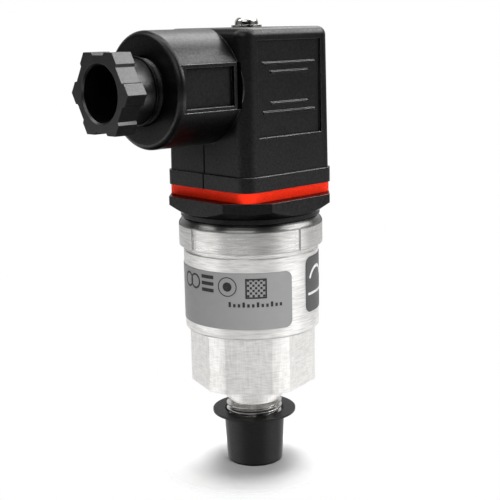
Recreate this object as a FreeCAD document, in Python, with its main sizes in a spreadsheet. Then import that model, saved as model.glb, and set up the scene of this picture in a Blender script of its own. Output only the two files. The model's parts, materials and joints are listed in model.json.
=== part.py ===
import FreeCAD, Part
import math
import os
import Sketcher

# Pressure transmitter with a right-angle plug, standing on its thread cap.
# Millimetres and degrees. The port axis is Z and z = 0 is the sealing face under the hexagon.
# The cable gland points along -X, and the plug's two recessed panels face -Y and +Y.

SIZES = [
    # Pressure connector, one turned and milled piece
    ("hex_flats", 27.0, "hexagon across flats"),
    ("hex_corners", 29.0, "turned diameter over the hexagon's corners"),
    ("hex_height", 13.17, "sealing face to the tube's seat"),
    ("hex_collar", 0.35, "full round left between the flats and the tube"),
    ("hex_turn", -17.7, "direction of one flat, from +X"),
    ("boss_width", 13.5, "plain boss under the hexagon"),
    ("boss_height", 4.1, "length of that boss"),
    ("relief_height", 1.0, "thread relief length"),
    ("thread_root", 11.4, "stem under the thread, and its relief"),
    ("thread_width", 13.157, "G 1/4 thread over its crests"),
    ("thread_length", 6.3, "thread with its end chamfer"),
    ("thread_chamfer", 0.8, "chamfer at the thread's end"),
    ("pilot_width", 9.5, "plain pilot under the thread"),
    ("pilot_length", 2.5, "length of the pilot"),
    ("port_width", 3.5, "pressure port bore"),
    ("spigot_height", 3.8, "spigot that centres the tube"),
    ("seat_depth", 8.0, "sensor seat, from the spigot's top"),

    # Tube, ring and seal
    ("tube_width", 31.0, "steel tube, outside"),
    ("tube_wall", 1.5, "tube wall"),
    ("tube_length", 24.85, "tube from seat to rim"),
    ("tube_neck_step", 0.6, "tube's outside down to its neck under the ring"),
    ("tube_groove_depth", 0.35, "groove just under the ring"),
    ("tube_groove_gap", 0.35, "land between ring and groove"),
    ("tube_groove_height", 0.95, "height of that groove"),
    ("tube_chamfer", 0.3, "chamfer at the tube's foot"),
    ("ring_overhang", 0.975, "ring's outside beyond the tube's"),
    ("ring_height", 6.4, "ring from foot to mouth"),
    ("ring_mouth_step", 0.5, "ring's mouth beyond the tube's neck"),
    ("ring_rise", 1.03, "mouth above the tube's rim"),
    ("ring_shoulder", 0.85, "height of the ring's sloped shoulder"),
    ("ring_bevel", 0.5, "bevel between shoulder and mouth"),
    ("ring_round", 1.2, "rounding under the shoulder"),
    ("slot_width", 1.5, "spanner slots in the ring"),
    ("slot_depth", 0.35, "depth of a spanner slot"),
    ("slot_land", 1.6, "ring left above a slot"),
    ("slot_turn", -4.0, "direction of the first slot, from +X"),
    ("seal_height", 1.33, "flat seal between rim and base"),

    # Sensor, board and leads inside the tube
    ("cell_width", 19.0, "sensor cell"),
    ("cell_height", 6.0, "sensor cell height"),
    ("cell_hollow", 0.4, "hollow over the diaphragm"),
    ("cell_rim", 1.2, "rim that the cell stands on"),
    ("cell_seal_cord", 1.6, "cord of the cell's seal ring"),
    ("clamp_height", 2.0, "ring that holds the cell down"),
    ("clamp_wall", 2.5, "radial width of that ring"),
    ("cell_pin_width", 0.5, "cell's pins"),
    ("cell_pin_circle", 8.0, "circle of the cell's pins"),
    ("board_lift", 7.0, "board above the spigot"),
    ("board_width", 26.6, "circuit board"),
    ("board_thickness", 1.6, "circuit board thickness"),
    ("chip_side", 4.0, "side of the board's square chip"),
    ("carrier_wall", 1.5, "board ring's wall"),
    ("lead_width", 0.9, "leads from board to pins"),

    # Connector base and its contacts
    ("base_neck_lap", 0.5, "round neck beyond the ring's mouth"),
    ("base_neck_height", 0.8, "height of that neck"),
    ("base_height", 4.73, "neck's foot to the base's top"),
    ("base_overhang", 1.05, "octagon's sides beyond the tube"),
    ("base_corner_reach", 1.475, "octagon's corner facets beyond its sides"),
    ("base_slope", 35.0, "underside cone, above level"),
    ("cone_overrun", 2.0, "cone's cut beyond the octagon's corners"),
    ("base_plate", 5.1, "plate that holds the contacts"),
    ("base_skirt_wall", 1.3, "skirt's wall inside the tube"),
    ("pin_spread", 9.0, "contact blades, from the axis"),
    ("pin_width", 6.0, "contact blade width"),
    ("pin_thickness", 0.8, "contact blade thickness"),
    ("pin_height", 11.0, "blade above the base"),
    ("tail_width", 3.0, "blade's tail in the plate"),
    ("tail_drop", 2.5, "tail below the plate"),
    ("earth_width", 5.0, "earth blade width"),
    ("insert_width", 4.6, "threaded insert"),
    ("insert_length", 7.0, "threaded insert length"),
    ("post_width", 7.2, "post round the insert"),
    ("post_height", 3.0, "post above the base"),

    # Plug
    ("gasket_height", 2.26, "flange gasket"),
    ("gasket_inset", 0.3, "band beyond the gasket"),
    ("gasket_lap", 0.05, "gasket inside the carrier's room"),
    ("gasket_round", 3.4, "gasket's corner"),
    ("band_overhang", 0.37, "band round the foot, beyond the housing"),
    ("band_height", 3.3, "height of the band"),
    ("band_round", 3.7, "corner of the band"),
    ("housing_wall", 2.33, "housing's wall at its foot"),
    ("housing_draft", 0.5, "draft of the housing's sides"),
    ("housing_round", 3.4, "corner of the housing"),
    ("housing_height", 34.66, "foot to top"),
    ("housing_edge", 1.9, "rounding of the top edge"),
    ("housing_roof", 3.2, "roof thickness"),
    ("carrier_gap", 0.3, "room round the contact carrier"),
    ("cavity_step", 1.0, "ledge between the carrier's room and the conductors'"),
    ("cavity_round", 2.5, "corner of both rooms"),
    ("gland_drop", 12.4, "gland axis below the top"),
    ("barrel_width", 24.7, "barrel"),
    ("barrel_round", 1.2, "rounding of the barrel's end"),
    ("panel_width", 19.2, "recessed panel"),
    ("panel_height", 20.5, "recessed panel height"),
    ("panel_top", 2.65, "panel's top under the housing's top"),
    ("panel_depth", 0.62, "panel's depth at its foot"),
    ("rib_long", 16.0, "long raised line"),
    ("rib_short", 11.5, "short raised line"),
    ("rib_width", 0.8, "width of a raised line at its foot"),
    ("rib_rise", 0.35, "height of a raised line"),
    ("rib_slope", 30.0, "slope of a raised line's sides"),
    ("rib_first", 4.95, "panel's top to the first line"),
    ("rib_second", 6.8, "panel's top to the second line"),
    ("rib_third", 13.4, "panel's top to the third line"),
    ("rib_fourth", 15.3, "panel's top to the fourth line"),
    ("window_length", 14.6, "flat window on the barrel's side"),
    ("window_height", 9.75, "height of the window"),
    ("window_start", 13.8, "window's near end from the port axis"),
    ("window_rise", 0.55, "window's middle above the gland axis"),
    ("window_plane", 11.5, "window's frame from the port axis"),
    ("window_depth", 0.8, "window's floor below its frame"),
    ("window_frame", 0.75, "width of the window's frame"),
    ("window_plate", 1.5, "thickness of the frame where it stands out of the barrel"),
    ("window_gap", 0.9, "gap between the window and the housing's corner"),
    ("parting_width", 0.16, "mould's parting line"),
    ("parting_depth", 0.1, "depth of the parting line"),

    # Contact carrier and terminals
    ("carrier_side", 22.0, "contact carrier"),
    ("carrier_lift", 0.32, "carrier above the base"),
    ("carrier_height", 13.0, "contact carrier height"),
    ("terminal_width", 6.8, "terminal across"),
    ("terminal_inner", 4.8, "terminal's near side from the axis"),
    ("terminal_outer", 10.2, "terminal's far side from the axis"),
    ("terminal_height", 8.5, "terminal height"),
    ("terminal_floor", 3.5, "carrier's floor under a terminal"),
    ("terminal_gap", 0.1, "room round a terminal"),
    ("blade_gap", 0.07, "room round a blade, across its faces"),
    ("blade_side_gap", 0.2, "room at a blade's edges"),
    ("clamp_plate_side", 4.4, "wire clamp plate"),
    ("clamp_plate_thickness", 0.8, "wire clamp plate thickness"),
    ("clamp_screw_spread", 7.0, "terminal screws, from the axis"),
    ("clamp_screw_width", 2.5, "terminal screw"),
    ("clamp_screw_length", 6.0, "terminal screw under its head"),
    ("clamp_head_width", 4.0, "terminal screw's head"),
    ("clamp_head_height", 1.5, "height of that head"),

    # Fixing screw and washer
    ("screw_width", 3.0, "fixing screw M3"),
    ("screw_grip", 6.0, "screw's length in the insert"),
    ("head_width", 5.2, "pan head"),
    ("head_height", 1.65, "pan head height"),
    ("head_round", 1.05, "rounding of the head"),
    ("head_slot", 0.6, "width of a recess's slot"),
    ("head_cross", 3.2, "length of the head's crossed recess"),
    ("head_cross_depth", 1.0, "depth of that recess"),
    ("head_turn", 20.0, "direction of a slot of that recess, from +X"),
    ("washer_width", 6.75, "screw's washer"),
    ("washer_thickness", 0.5, "thickness of that washer"),

    # Cable gland
    ("nut_flats", 16.5, "gland nut across flats"),
    ("nut_height", 4.68, "gland nut's six sides"),
    ("nut_gap", 6.27, "nut to the barrel's end"),
    ("nut_neck_width", 13.5, "plain neck behind the nut"),
    ("nut_neck_length", 4.42, "length of the plain neck"),
    ("gland_thread_width", 14.5, "gland thread over its crests"),
    ("nut_engagement", 7.6, "thread inside the barrel"),
    ("nut_bore", 11.6, "nut's bore"),
    ("nut_mouth", 12.4, "nut's mouth"),
    ("nut_notch_width", 4.4, "notch in each side"),
    ("nut_notch_depth", 0.55, "depth of a notch"),
    ("nut_notch_ramp", 0.45, "ramp at a notch's ends"),
    ("thrust_thickness", 0.8, "thrust washer"),
    ("seat_wall", 1.7, "wall from the wiring room to the seal's seat"),
    ("nut_travel", 4.0, "way that the nut has left to press the seal"),
    ("gland_seal_length", 5.5, "cable seal"),
    ("gland_seal_bore", 7.2, "cable seal's bore"),
    ("wire_hole", 10.0, "hole from the seal to the room inside"),

    # Thread cap
    ("cap_gap", 7.59, "sealing face to the cap's flange"),
    ("cap_flange_width", 19.5, "cap's flange"),
    ("cap_flange_thickness", 0.5, "thickness of the flange"),
    ("cap_length", 12.58, "flange's top to the foot"),
    ("cap_width", 14.2, "cap under the flange"),
    ("cap_foot_width", 13.0, "cap at its foot"),
    ("cap_floor", 0.8, "thickness of the cap's floor"),
    ("cap_foot_wall", 0.7, "cap's wall at its foot"),
    ("cap_foot_round", 0.6, "rounding of the foot"),
    ("cap_mouth", 13.9, "cap's mouth"),

    # Labels
    ("label_thickness", 0.1, "label film"),
    ("label_height", 12.8, "grey label height"),
    ("label_foot", 2.4, "grey label above the tube's foot"),
    ("label_start", 91.4, "grey label's far end, from +X"),
    ("label_sweep", 170.0, "grey label's angle"),
    ("label_round", 1.7, "corners of the labels"),
    ("dark_label_height", 12.7, "dark label height"),
    ("dark_label_foot", 4.5, "dark label above the tube's foot"),
    ("dark_label_start", -81.9, "dark label's near end, from +X"),
    ("dark_label_sweep", 120.0, "dark label's angle"),

    # Clearances
    ("running_gap", 0.05, "radial gap of what turns or slides"),
    ("press_gap", 0.02, "radial gap of what is pressed or glued in"),
]


class Dimension:
    """A length or angle, with the sheet expression that gives it."""

    def __init__(self, text, value):
        self.text = text
        self.value = value

    def __add__(self, other):
        other = dimension(other)
        return Dimension(f"({self.text} + {other.text})", self.value + other.value)

    def __sub__(self, other):
        other = dimension(other)
        return Dimension(f"({self.text} - {other.text})", self.value - other.value)

    def __mul__(self, other):
        other = dimension(other)
        return Dimension(f"({self.text} * {other.text})", self.value * other.value)

    def __truediv__(self, other):
        other = dimension(other)
        return Dimension(f"({self.text} / {other.text})", self.value / other.value)

    def __neg__(self):
        return Dimension(f"(0 - {self.text})", -self.value)


def dimension(value):
    if isinstance(value, Dimension):
        return value
    return Dimension(repr(float(value)), float(value))


class Sizes:
    """The driving dimensions by name, kept in the document's sheet."""

    def __init__(self, document):
        sheet = document.addObject("Spreadsheet::Sheet", "Sizes")
        for row, (alias, number, note) in enumerate(SIZES, start=1):
            sheet.set(f"A{row}", alias)
            sheet.set(f"B{row}", str(number))
            sheet.set(f"C{row}", note)
            sheet.setAlias(f"B{row}", alias)
        document.recompute()
        for alias, number, note in SIZES:
            setattr(self, alias, Dimension(f"Sizes.{alias}", float(sheet.get(alias))))


doc = FreeCAD.newDocument("pressure_transmitter")
size = Sizes(doc)
pieces = []


# Levels along the port axis

tube_foot = size.hex_height
tube_rim = tube_foot + size.tube_length
spigot_top = tube_foot + size.spigot_height
seat_floor = spigot_top - size.seat_depth
cell_top = seat_floor + size.cell_height
board_foot = spigot_top + size.board_lift
board_top = board_foot + size.board_thickness
ring_top = tube_rim + size.ring_rise
ring_foot = ring_top - size.ring_height
base_foot = tube_rim + size.seal_height
base_top = base_foot + size.base_height
plate_foot = base_top - size.base_plate
tail_foot = plate_foot - size.tail_drop
post_top = base_top + size.post_height
plug_foot = base_top + size.gasket_height
plug_top = plug_foot + size.housing_height
gland_axis = plug_top - size.gland_drop
carrier_foot = base_top + size.carrier_lift
carrier_top = carrier_foot + size.carrier_height
terminal_foot = carrier_foot + size.terminal_floor
terminal_top = terminal_foot + size.terminal_height
clamp_screw_seat = terminal_top + size.clamp_plate_thickness
screw_seat = plug_top + size.washer_thickness
screw_tip = post_top - size.screw_grip
boss_foot = -size.boss_height
thread_top = boss_foot - size.relief_height
thread_foot = thread_top - size.thread_length
pilot_foot = thread_foot - size.pilot_length
cap_top = -size.cap_gap
cap_foot = cap_top - size.cap_length

# Half widths of the plug and its base, from the carrier and the tube

half_carrier = size.carrier_side / 2
half_carrier_room = half_carrier + size.carrier_gap
half_upper_room = half_carrier_room - size.cavity_step
half_housing = half_carrier_room + size.housing_wall
half_band = half_housing + size.band_overhang
half_gasket = half_band - size.gasket_inset
half_base = size.tube_width / 2 + size.base_overhang

# Distances along the gland, from the port axis

gland_seat = half_upper_room + size.seat_wall
thrust_foot = gland_seat + size.gland_seal_length + size.nut_travel
nut_nose = thrust_foot + size.thrust_thickness
barrel_end = nut_nose + size.nut_engagement
nut_shoulder = barrel_end + size.nut_gap

# Radii that more than one piece uses

tube_bore = size.tube_width / 2 - size.tube_wall
neck_radius = size.tube_width / 2 - size.tube_neck_step
mouth_radius = neck_radius + size.ring_mouth_step
inner_fit = tube_bore - size.running_gap
seat_radius = size.cell_width / 2 + size.running_gap
thread_radius = size.thread_width / 2
gland_thread_radius = size.gland_thread_width / 2
gland_bore_radius = gland_thread_radius + size.running_gap
screw_radius = size.screw_width / 2
screw_hole = screw_radius + size.running_gap


# Drawing helpers

def bind(target, name, amount):
    """Set a property and tie it to the sheet."""
    amount = dimension(amount)
    setattr(target, name, amount.value)
    target.setExpression(name, amount.text)


def pin(sketch, direction, line, start, amount):
    """Hold one coordinate of a line's start point."""
    axis = -2 if direction == "DistanceX" else -1
    if not isinstance(amount, Dimension) and amount == 0:
        sketch.addConstraint(Sketcher.Constraint("PointOnObject", line, start, axis))
        return
    amount = dimension(amount)
    index = sketch.addConstraint(Sketcher.Constraint(direction, -1, 1, line, start, amount.value))
    sketch.setExpression(f"Constraints[{index}]", amount.text)


def outline(sketch, corners):
    """Draw a closed polygon whose corners all follow the sheet."""
    places = [FreeCAD.Vector(dimension(x).value, dimension(y).value, 0) for x, y in corners]
    first = sketch.GeometryCount
    for start, end in zip(places, places[1:] + places[:1]):
        sketch.addGeometry(Part.LineSegment(start, end), False)
    for index in range(len(corners)):
        following = first + (index + 1) % len(corners)
        sketch.addConstraint(Sketcher.Constraint("Coincident", first + index, 2, following, 1))
    for index, (x, y) in enumerate(corners):
        pin(sketch, "DistanceX", first + index, 1, x)
        pin(sketch, "DistanceY", first + index, 1, y)


def circle(sketch, radius, x=0, y=0):
    """Draw a circle whose radius and centre follow the sheet."""
    radius = dimension(radius)
    centre = FreeCAD.Vector(dimension(x).value, dimension(y).value, 0)
    ring = sketch.addGeometry(Part.Circle(centre, FreeCAD.Vector(0, 0, 1), radius.value), False)
    index = sketch.addConstraint(Sketcher.Constraint("Radius", ring, radius.value))
    sketch.setExpression(f"Constraints[{index}]", radius.text)
    pin(sketch, "DistanceX", ring, 3, x)
    pin(sketch, "DistanceY", ring, 3, y)


def rectangle(sketch, low_x, high_x, low_y, high_y):
    outline(sketch, [(low_x, low_y), (high_x, low_y), (high_x, high_y), (low_x, high_y)])


def square(sketch, half):
    rectangle(sketch, -half, half, -half, half)


def new_body(label):
    body = doc.addObject("PartDesign::Body", label)
    body.Label = label
    pieces.append(body)
    return body


def new_sketch(body, label, plane="XY_Plane", offset=0):
    """Put a sketch on one of the body's own planes, moved along that plane's normal."""
    sketch = body.newObject("Sketcher::SketchObject", label)
    support = [item for item in body.Origin.OriginFeatures if item.Role == plane][0]
    sketch.AttachmentSupport = (support, [""])
    sketch.MapMode = "FlatFace"
    offset = dimension(offset)
    sketch.AttachmentOffset = FreeCAD.Placement(FreeCAD.Vector(0, 0, offset.value), FreeCAD.Rotation())
    sketch.setExpression("AttachmentOffset.Base.z", offset.text)
    return sketch


def add_prism(body, sketch, kind, length, against=False, draft=None):
    """Pad or pocket a sketch along its normal, or against it."""
    feature = body.newObject(f"PartDesign::{kind}", f"{sketch.Name}_{kind}")
    feature.Profile = (sketch, [""])
    bind(feature, "Length", length)
    feature.Reversed = against
    if draft is not None:
        bind(feature, "TaperAngle", draft)
    sketch.Visibility = False
    return feature


def pad(body, sketch, length, against=False, draft=None):
    return add_prism(body, sketch, "Pad", length, against, draft)


def pocket(body, sketch, length, against=False):
    return add_prism(body, sketch, "Pocket", length, against)


def turn(body, label, kind, corners):
    """Revolve a half section, given as radius and height, round the body's Z axis."""
    sketch = new_sketch(body, label, "XZ_Plane")
    outline(sketch, corners)
    feature = body.newObject(f"PartDesign::{kind}", f"{label}_{kind}")
    feature.Profile = (sketch, [""])
    feature.ReferenceAxis = (sketch, ["V_Axis"])
    feature.Angle = 360.0
    return feature


def turned(label, corners):
    """A body that is one revolved section."""
    body = new_body(label)
    turn(body, f"{label}_section", "Revolution", corners)
    return body


def repeat(body, feature, count):
    """Repeat a feature evenly round the body's Z axis."""
    axis = [item for item in body.Origin.OriginFeatures if item.Role == "Z_Axis"][0]
    pattern = body.newObject("PartDesign::PolarPattern", f"{feature.Name}_ring")
    pattern.Originals = [feature]
    pattern.Axis = (axis, [""])
    pattern.Angle = 360.0
    pattern.Occurrences = count
    body.Tip = pattern
    return pattern


def edges_where(shape, test):
    """Names of the edges whose two ends and middle pass a test."""
    names = []
    for number, edge in enumerate(shape.Edges, start=1):
        middle = edge.valueAt((edge.FirstParameter + edge.LastParameter) / 2)
        points = [vertex.Point for vertex in edge.Vertexes] + [middle]
        if all(test(point) for point in points):
            names.append(f"Edge{number}")
    return names


def dress(body, kind, amount, test):
    """Fillet or chamfer the edges of the body so far that pass a test."""
    doc.recompute()
    base = body.Tip
    names = edges_where(base.Shape, test)
    feature = body.newObject(f"PartDesign::{kind}", f"{base.Name}_{kind}")
    feature.Base = (base, names)
    bind(feature, "Radius" if kind == "Fillet" else "Size", amount)
    return feature


def fillet(body, radius, test):
    return dress(body, "Fillet", radius, test)


def chamfer(body, length, test):
    return dress(body, "Chamfer", length, test)


def near(number, amount, room=0.02):
    return abs(number - dimension(amount).value) < room


def at_height(amount):
    return lambda point: near(point.z, amount)


def at_corner(half_side, room=1.0):
    """Test for the upright edges of a square body, drafted or not."""
    half = dimension(half_side).value
    return lambda point: near(abs(point.x), half, room) and near(abs(point.y), half, room)


def lay_along_gland(body):
    """Turn a body made along +Z so that it points out of the gland, along -X."""
    turned_over = FreeCAD.Rotation(FreeCAD.Vector(0, 1, 0), -90)
    body.Placement = FreeCAD.Placement(FreeCAD.Vector(0, 0, gland_axis.value), turned_over)
    body.setExpression("Placement.Base.z", gland_axis.text)


def turn_body(body, angle):
    """Turn a body round the port axis."""
    body.Placement = FreeCAD.Placement(
        FreeCAD.Vector(0, 0, 0), FreeCAD.Rotation(FreeCAD.Vector(0, 0, 1), angle.value))


def tube_section(inner, outer, foot, top):
    return [(inner, foot), (outer, foot), (outer, top), (inner, top)]


# Metal body

def pressure_connector():
    """Hexagon, boss, thread and pilot, with the sensor's seat on top."""
    corner = size.hex_corners / 2
    body = turned("pressure_connector", [
        (size.port_width / 2, pilot_foot),
        (size.pilot_width / 2, pilot_foot),
        (size.pilot_width / 2, thread_foot),
        (size.thread_root / 2, thread_foot),
        (size.thread_root / 2, boss_foot),
        (size.boss_width / 2, boss_foot),
        (size.boss_width / 2, 0),
        (corner, 0),
        (corner, tube_foot),
        (inner_fit, tube_foot),
        (inner_fit, spigot_top),
        (seat_radius, spigot_top),
        (seat_radius, seat_floor),
        (size.port_width / 2, seat_floor),
    ])
    flat = new_sketch(body, "hexagon_flat")
    half = size.hex_flats / 2
    rectangle(flat, half, half + size.hex_corners / 2, -size.hex_corners / 2, size.hex_corners / 2)
    cut = pocket(body, flat, size.hex_height - size.hex_collar, against=True)
    repeat(body, cut, 6)
    turn_body(body, size.hex_turn)


def stem_thread():
    """The connector's G 1/4 thread, as a sleeve from root to crest."""
    root = size.thread_root / 2 + size.press_gap
    turned("stem_thread", [
        (root, thread_foot),
        (thread_radius - size.thread_chamfer, thread_foot),
        (thread_radius, thread_foot + size.thread_chamfer),
        (thread_radius, thread_top - size.thread_chamfer / 2),
        (thread_radius - size.thread_chamfer / 2, thread_top),
        (root, thread_top),
    ])


def body_tube():
    """Thin steel tube with a groove and a reduced neck for the ring."""
    outer = size.tube_width / 2
    groove_top = ring_foot - size.tube_groove_gap
    groove_foot = groove_top - size.tube_groove_height
    turned("body_tube", [
        (tube_bore, tube_foot),
        (outer - size.tube_chamfer, tube_foot),
        (outer, tube_foot + size.tube_chamfer),
        (outer, groove_foot),
        (outer - size.tube_groove_depth, groove_foot),
        (outer - size.tube_groove_depth, groove_top),
        (outer, groove_top),
        (outer, ring_foot),
        (neck_radius, ring_foot),
        (neck_radius, tube_rim),
        (tube_bore, tube_rim),
    ])


def lock_ring():
    """Steel ring on the tube's neck, with a rounded shoulder and four spanner slots."""
    outer = size.tube_width / 2 + size.ring_overhang
    bore = neck_radius + size.running_gap
    mouth = mouth_radius
    bevel_foot = ring_top - size.ring_bevel
    shoulder_foot = bevel_foot - size.ring_shoulder
    body = turned("lock_ring", [
        (bore, ring_foot),
        (outer, ring_foot),
        (outer, shoulder_foot),
        (mouth + size.ring_bevel, bevel_foot),
        (mouth, ring_top),
        (mouth, tube_rim),
        (bore, tube_rim),
    ])
    fillet(body, size.ring_round, at_height(shoulder_foot))
    slot = new_sketch(body, "spanner_slot", offset=ring_foot)
    rectangle(slot, outer - size.slot_depth, outer * 1.1, -size.slot_width / 2, size.slot_width / 2)
    cut = pocket(body, slot, size.ring_height - size.slot_land, against=True)
    repeat(body, cut, 4)
    turn_body(body, size.slot_turn)


def base_seal():
    """Flat black seal squeezed between the tube's rim and the base's neck."""
    turned("base_seal", tube_section(tube_bore + size.press_gap,
                                     mouth_radius - size.press_gap, tube_rim, base_foot))


# Inside the tube

def sensor_cell():
    """Oil-filled sensor cell with a seal groove and a hollow over its diaphragm."""
    outer = size.cell_width / 2
    cord = size.cell_seal_cord
    groove = outer - cord
    groove_foot = seat_floor + (size.cell_height - cord) / 2 - size.running_gap * 2
    groove_top = groove_foot + cord + size.running_gap * 4
    turned("sensor_cell", [
        (0, seat_floor + size.cell_hollow),
        (outer - size.cell_rim, seat_floor + size.cell_hollow),
        (outer - size.cell_rim, seat_floor),
        (outer, seat_floor),
        (outer, groove_foot),
        (groove, groove_foot),
        (groove, groove_top),
        (outer, groove_top),
        (outer, cell_top),
        (0, cell_top),
    ])


def sensor_seal():
    """Round rubber ring in the cell's groove."""
    ring = doc.addObject("Part::Torus", "sensor_seal")
    ring.Label = "sensor_seal"
    bind(ring, "Radius1", (size.cell_width - size.cell_seal_cord) / 2 + size.press_gap)
    bind(ring, "Radius2", size.cell_seal_cord / 2 - size.press_gap / 2)
    height = seat_floor + size.cell_height / 2
    ring.Placement = FreeCAD.Placement(FreeCAD.Vector(0, 0, height.value), FreeCAD.Rotation())
    ring.setExpression("Placement.Base.z", height.text)
    pieces.append(ring)


def sensor_clamp_ring():
    """Ring pressed in over the cell."""
    outer = seat_radius - size.press_gap
    turned("sensor_clamp_ring", tube_section(outer - size.clamp_wall, outer,
                                             cell_top, cell_top + size.clamp_height))


def cell_pin_places():
    radius = size.cell_pin_circle / 2
    turns = [math.tau * (number + 0.5) / 5 for number in range(5)]
    return [(radius * math.cos(turn_angle), radius * math.sin(turn_angle)) for turn_angle in turns]


def sensor_pins():
    """Five wires that stand on the cell and pass through the board."""
    wires = []
    for number, (x, y) in enumerate(cell_pin_places(), start=1):
        wire = doc.addObject("Part::Cylinder", f"cell_pin_{number}")
        bind(wire, "Radius", size.cell_pin_width / 2)
        bind(wire, "Height", board_top - cell_top + size.cell_pin_width)
        wire.Placement = FreeCAD.Placement(
            FreeCAD.Vector(x.value, y.value, cell_top.value), FreeCAD.Rotation())
        wire.setExpression("Placement.Base.x", x.text)
        wire.setExpression("Placement.Base.y", y.text)
        wire.setExpression("Placement.Base.z", cell_top.text)
        wires.append(wire)
    group("sensor_pins", wires)


def group(label, members):
    """Keep like solids together as one named piece."""
    compound = doc.addObject("Part::Compound", label)
    compound.Label = label
    compound.Links = members
    pieces.append(compound)


def board_ring():
    """Plastic ring that carries the board on the connector's spigot."""
    turned("board_ring", tube_section(inner_fit - size.carrier_wall, inner_fit,
                                      spigot_top, board_foot))


def circuit_board():
    """Round board with five holes for the cell's pins."""
    body = new_body("circuit_board")
    disc = new_sketch(body, "board_disc", offset=board_foot)
    circle(disc, size.board_width / 2)
    for x, y in cell_pin_places():
        circle(disc, size.cell_pin_width / 2 + size.running_gap, x, y)
    pad(body, disc, size.board_thickness)


def block(label, centre_x, centre_y, foot, length, width, height):
    """A plain box that stands on a level, given by its middle."""
    box = doc.addObject("Part::Box", label)
    bind(box, "Length", length)
    bind(box, "Width", width)
    bind(box, "Height", height)
    corner = [dimension(centre_x) - dimension(length) / 2, dimension(centre_y) - dimension(width) / 2, foot]
    box.Placement = FreeCAD.Placement(FreeCAD.Vector(*[part.value for part in corner]), FreeCAD.Rotation())
    for axis, part in zip("xyz", corner):
        box.setExpression(f"Placement.Base.{axis}", part.text)
    return box


def board_parts():
    """Amplifier chip, converter and three capacitors on top of the board."""
    reach = size.board_width / 2
    chip = size.chip_side
    layout = [
        ("amplifier_chip", -0.42, 0.45, 1.25, 1.0, 0.3),
        ("converter_chip", 0.40, -0.46, 1.0, 1.0, 0.25),
        ("filter_capacitor", 0.46, 0.42, 0.8, 0.65, 0.45),
        ("small_capacitor_1", -0.38, -0.52, 0.5, 0.31, 0.22),
        ("small_capacitor_2", -0.52, -0.36, 0.5, 0.31, 0.22),
    ]
    chips = [block(label, reach * x, reach * y, board_top, chip * length, chip * width, chip * height)
             for label, x, y, length, width, height in layout]
    group("board_parts", chips)


def lead_wires():
    """Four straight leads from the board to the contacts' tails."""
    leads = []
    for number, (x, y) in enumerate([(-1, 0), (1, 0), (0, -1), (0, 1)], start=1):
        lead = doc.addObject("Part::Cylinder", f"lead_{number}")
        bind(lead, "Radius", size.lead_width / 2)
        bind(lead, "Height", tail_foot - board_top)
        place = [size.pin_spread * x, size.pin_spread * y, board_top]
        lead.Placement = FreeCAD.Placement(FreeCAD.Vector(*[part.value for part in place]), FreeCAD.Rotation())
        for axis, part in zip("xyz", place):
            lead.setExpression(f"Placement.Base.{axis}", part.text)
        leads.append(lead)
    group("lead_wires", leads)


# Connector base

def octagon(sketch, side, corner):
    """Octagon whose four sides and four corner facets have their own distances from its middle."""
    short = corner * math.sqrt(2) - side
    ring = [(side, short), (short, side), (-short, side), (-side, short),
            (-side, -short), (-short, -side), (short, -side), (side, -short)]
    outline(sketch, ring)


def connector_base():
    """Black moulded base: octagon with a conical underside, post, plate and skirt."""
    body = new_body("connector_base")
    plate = new_sketch(body, "base_octagon", offset=base_foot)
    corner = half_base + size.base_corner_reach
    octagon(plate, half_base, corner)
    pad(body, plate, size.base_height)
    neck = mouth_radius + size.base_neck_lap
    neck_top = base_foot + size.base_neck_height
    reach = corner - neck + size.cone_overrun
    rise = reach * math.tan(math.radians(size.base_slope.value))
    turn(body, "underside_cone", "Groove", [
        (neck, base_foot), (neck + reach, base_foot), (neck + reach, neck_top + rise), (neck, neck_top)])
    skirt = size.base_skirt_wall
    turn(body, "base_skirt", "Revolution", [
        (inner_fit - skirt, board_top), (inner_fit, board_top), (inner_fit, base_foot),
        (neck - skirt, base_foot), (neck - skirt, base_foot + skirt), (0, base_foot + skirt),
        (0, plate_foot), (inner_fit - skirt, plate_foot)])
    post = new_sketch(body, "insert_post", offset=base_top)
    circle(post, size.post_width / 2)
    pad(body, post, size.post_height)
    hole = new_sketch(body, "insert_hole", offset=post_top)
    circle(hole, size.insert_width / 2 + size.press_gap)
    pocket(body, hole, size.insert_length)
    slots = new_sketch(body, "tail_slots", offset=base_top)
    thick = size.pin_thickness / 2
    tail = size.tail_width / 2
    spread = size.pin_spread
    rectangle(slots, spread - thick, spread + thick, -tail, tail)
    rectangle(slots, -spread - thick, -spread + thick, -tail, tail)
    rectangle(slots, -tail, tail, spread - thick, spread + thick)
    rectangle(slots, -tail, tail, -spread - thick, -spread + thick)
    pocket(body, slots, size.base_plate)


def contact(label, width, direction):
    """Flat blade with a narrower tail that is held in the base's plate."""
    body = new_body(label)
    thick = size.pin_thickness / 2
    blade = new_sketch(body, f"{label}_outline", "YZ_Plane", size.pin_spread - thick)
    half = width / 2
    tail = size.tail_width / 2
    top = base_top + size.pin_height
    lead_in = thick
    outline(blade, [
        (-tail, tail_foot), (tail, tail_foot), (tail, base_top), (half, base_top),
        (half, top - lead_in), (half - lead_in, top), (-half + lead_in, top), (-half, top - lead_in),
        (-half, base_top), (-tail, base_top)])
    pad(body, blade, size.pin_thickness)
    turn_body(body, direction)


def threaded_insert():
    """Brass insert in the post; the screw runs in its bore."""
    turned("threaded_insert", tube_section(screw_hole, size.insert_width / 2,
                                           post_top - size.insert_length, post_top))


# Plug

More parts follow.
